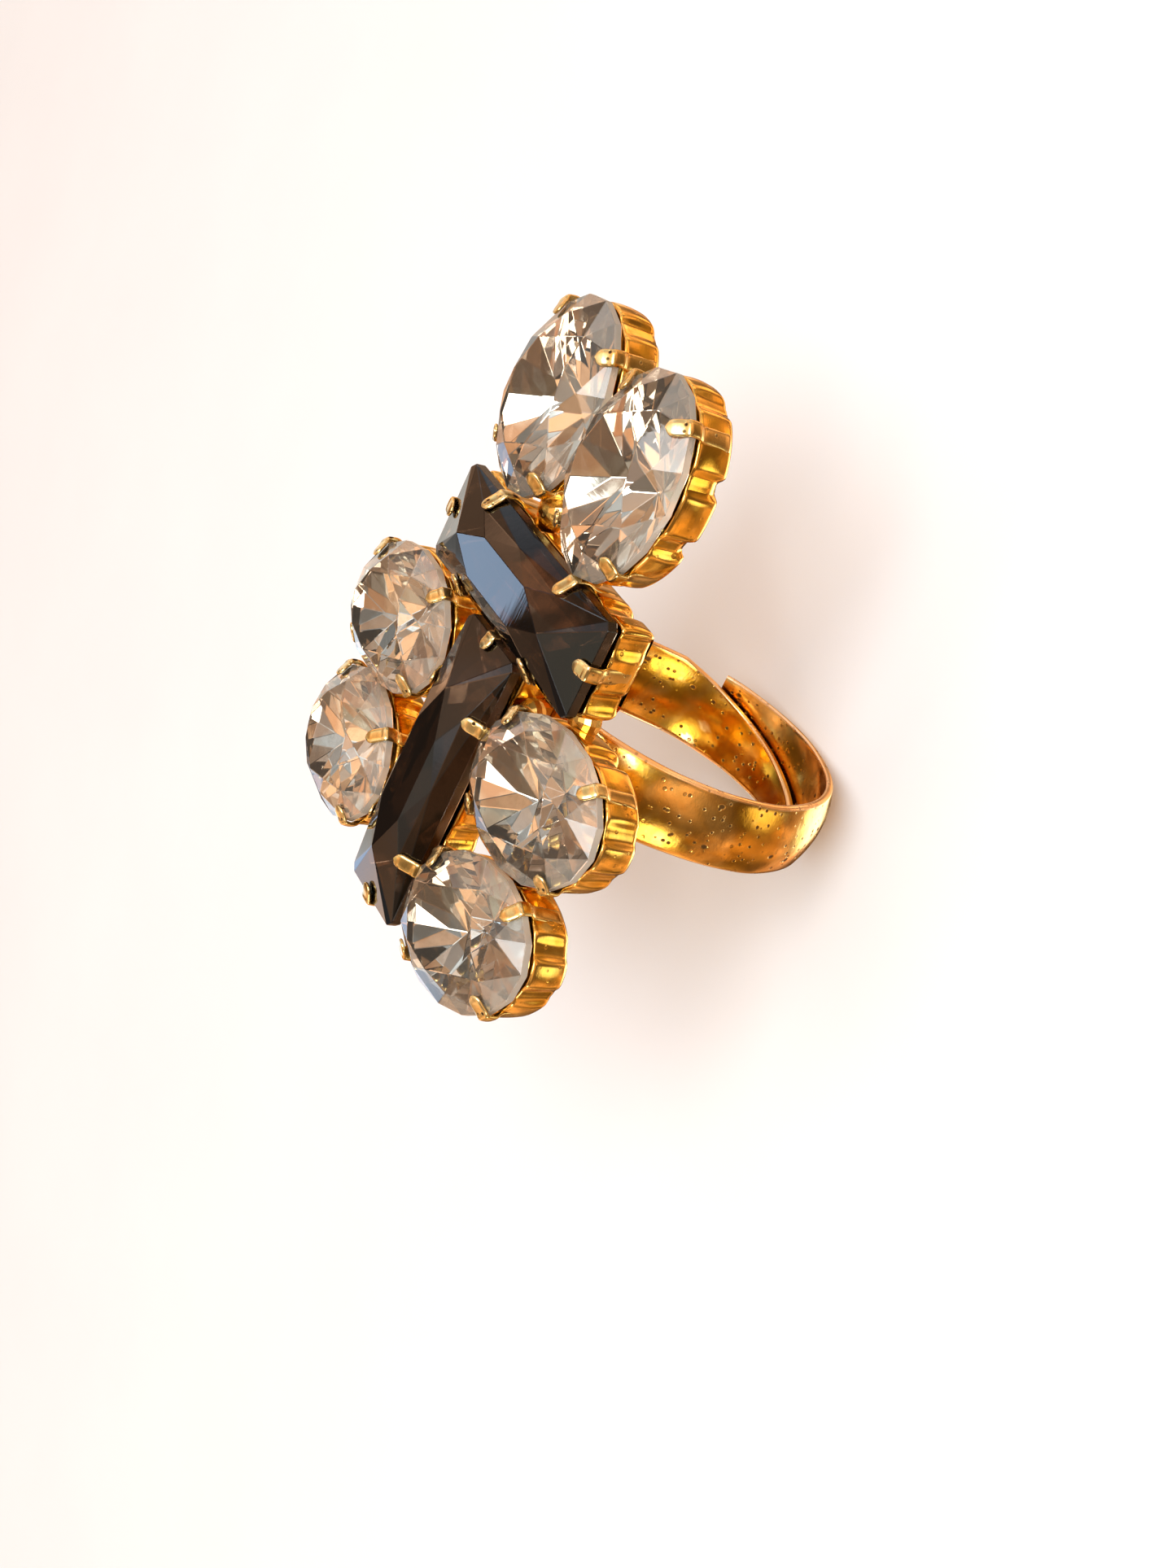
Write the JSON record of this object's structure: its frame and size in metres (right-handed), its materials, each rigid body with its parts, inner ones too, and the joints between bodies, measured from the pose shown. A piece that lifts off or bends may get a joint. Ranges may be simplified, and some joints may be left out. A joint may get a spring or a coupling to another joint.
{
  "type": "adjustable cocktail ring",
  "caption": "Statement ring with pronged clear oval crystals around a T of smoky baguettes, soldered cup to cup on an adjustable lapped band.",
  "frame": {"origin": "centre of the finger hole, at the middle of the band's width", "axes": "+Z out of the face of the head, +Y along the finger towards the paired ovals, +X to the right when facing the head with +Y up"},
  "size_m": [0.0358, 0.0433, 0.0315],
  "materials": {
    "clear_crystal": "clear colourless cut glass, polished",
    "smoky_crystal": "smoky grey-brown cut glass, polished",
    "gilt_brass": "old gilt, worn pale on edges, pitted and darkened in recesses",
    "solder": "gilt solder, slightly rough"
  },
  "bodies": {
    "head": {"crossbar_stone": "smoky_crystal", "crossbar_cup": "gilt_brass", "stem_stone": "smoky_crystal", "stem_cup": "gilt_brass", "upper_left_stone": "clear_crystal", "upper_left_cup": "gilt_brass", "upper_right_stone": "clear_crystal", "upper_right_cup": "gilt_brass", "mid_left_stone": "clear_crystal", "mid_left_cup": "gilt_brass", "mid_right_stone": "clear_crystal", "mid_right_cup": "gilt_brass", "low_left_stone": "clear_crystal", "low_left_cup": "gilt_brass", "low_right_stone": "clear_crystal", "low_right_cup": "gilt_brass", "solder_upper_left_upper_right": "solder", "solder_upper_left_crossbar": "solder", "solder_upper_right_crossbar": "solder", "solder_mid_left_crossbar": "solder", "solder_mid_right_crossbar": "solder", "solder_stem_crossbar": "solder", "solder_mid_left_stem": "solder", "solder_mid_right_stem": "solder", "solder_low_left_stem": "solder", "solder_low_right_stem": "solder", "solder_mid_left_low_left": "solder", "solder_mid_right_low_right": "solder", "solder_shank_pad": "solder", "shank_outer_arm": "gilt_brass"},
    "inner_arm": {"shank_inner_arm": "gilt_brass"}
  },
  "joints": [
    {"name": "band_bend", "type": "hinge", "parent": "head", "child": "inner_arm", "pos_m": [-0.00544, 0.00052, 0.01024], "axis": [0, -0.9987, 0.0506], "range_deg": [-1, 8]}
  ]
}
